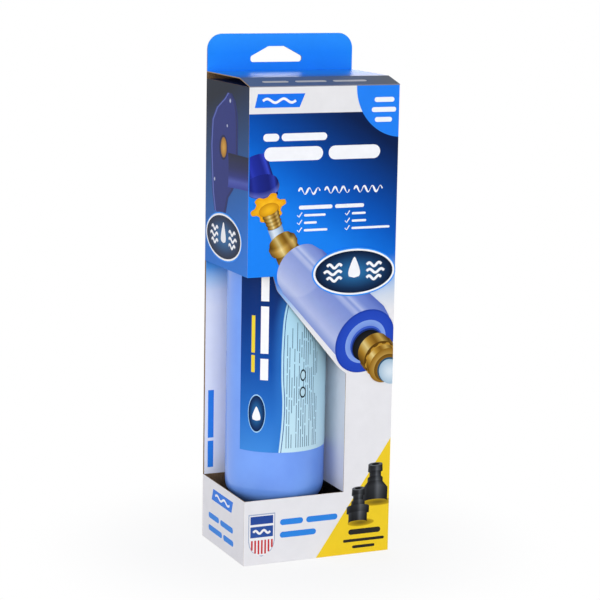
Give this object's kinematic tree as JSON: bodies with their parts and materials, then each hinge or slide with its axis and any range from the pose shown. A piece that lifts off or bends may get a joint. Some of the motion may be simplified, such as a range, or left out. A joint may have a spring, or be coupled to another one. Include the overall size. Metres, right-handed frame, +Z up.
{
  "type": "inline water filter",
  "caption": "Inline drinking-water filter with hose-thread ends, standing in an open-window carton beside quick-change hose fittings.",
  "frame": {"origin": "centre of the carton's footprint, on the surface it stands on", "axes": "+Z up along the filter's axis from its inlet swivel to its outlet thread; -Y out of the carton's front; +X to the right seen from the front"},
  "size_m": [0.111, 0.079, 0.3611],
  "materials": {
    "blue_housing": "moulded polypropylene, satin gloss",
    "cap_blue": "spin-welded end cap, satin gloss",
    "black_nylon": "glass-filled nylon, satin",
    "brass": "turned, uncoated",
    "black_rubber": "moulded nitrile",
    "steel_mesh": "punched stainless",
    "spring_steel": "drawn stainless wire",
    "white_plastic": "moulded polypropylene",
    "felt": "needled polyester felt",
    "kdf_media": "copper and zinc granules, packed",
    "carbon_media": "granular activated carbon, packed",
    "label_film": "printed film label",
    "printed_board": "coated board, printed outside, brown inside"
  },
  "bodies": {
    "filter": {"housing": "blue_housing", "outlet_cap": "cap_blue", "outlet_fitting": "black_nylon", "outlet_gasket": "black_rubber", "inlet_stem": "brass", "inlet_gasket": "black_rubber", "lower_grid": "white_plastic", "lower_felt": "felt", "kdf_bed": "kdf_media", "middle_felt": "felt", "carbon_bed": "carbon_media", "upper_felt": "felt", "upper_grid": "white_plastic", "bed_spring": "spring_steel", "label": "label_film"},
    "swivel": {"swivel_nut": "brass", "hose_washer": "black_rubber", "inlet_strainer": "steel_mesh"},
    "carton": {"front_panel": "printed_board", "back_panel": "printed_board", "right_panel": "printed_board", "left_header": "printed_board", "left_tray_wall": "printed_board", "window_flap_side": "printed_board", "window_flap_front": "printed_board", "glue_flap": "printed_board"},
    "lid": {"lid": "printed_board"},
    "dust_flap_left": {"dust_flap_left": "printed_board"},
    "dust_flap_right": {"dust_flap_right": "printed_board"},
    "base": {"base_panel": "printed_board", "base_side_flap_left": "printed_board", "base_side_flap_right": "printed_board"},
    "female_adapter": {"female_adapter": "black_nylon", "female_adapter_washer": "black_rubber", "female_adapter_o_ring": "black_rubber"},
    "male_adapter": {"male_adapter": "black_nylon", "male_adapter_o_ring": "black_rubber"}
  },
  "joints": [
    {"name": "swivel_spin", "type": "hinge", "parent": "filter", "child": "swivel", "pos_m": [-0.0165, 0, 0.0185], "axis": [0, 0, 1], "continuous": true},
    {"name": "carton_lift", "type": "slide", "parent": "filter", "child": "carton", "axis": [0, 0, 1], "range_m": [0, 0.36]},
    {"name": "lid_hinge", "type": "hinge", "parent": "carton", "child": "lid", "pos_m": [0, -0.0395, 0.3301], "axis": [1, 0, 0], "range_deg": [0, 115]},
    {"name": "dust_flap_left_hinge", "type": "hinge", "parent": "carton", "child": "dust_flap_left", "pos_m": [-0.0549, 0, 0.3301], "axis": [0, -1, 0], "range_deg": [0, 92]},
    {"name": "dust_flap_right_hinge", "type": "hinge", "parent": "carton", "child": "dust_flap_right", "pos_m": [0.0549, 0, 0.3301], "axis": [0, 1, 0], "range_deg": [0, 92]},
    {"name": "base_hinge", "type": "hinge", "parent": "filter", "child": "base", "pos_m": [0, 0.0389, 0], "axis": [1, 0, 0], "range_deg": [0, 95]},
    {"name": "female_adapter_lift", "type": "slide", "parent": "filter", "child": "female_adapter", "axis": [0, 0, 1], "range_m": [0, 0.06]},
    {"name": "male_adapter_lift", "type": "slide", "parent": "filter", "child": "male_adapter", "axis": [0, 0, 1], "range_m": [0, 0.06]}
  ],
  "couplings": [
    {"joint": "dust_flap_left_hinge", "follows": "lid_hinge", "ratio": 0.8},
    {"joint": "dust_flap_right_hinge", "follows": "lid_hinge", "ratio": 0.8}
  ]
}
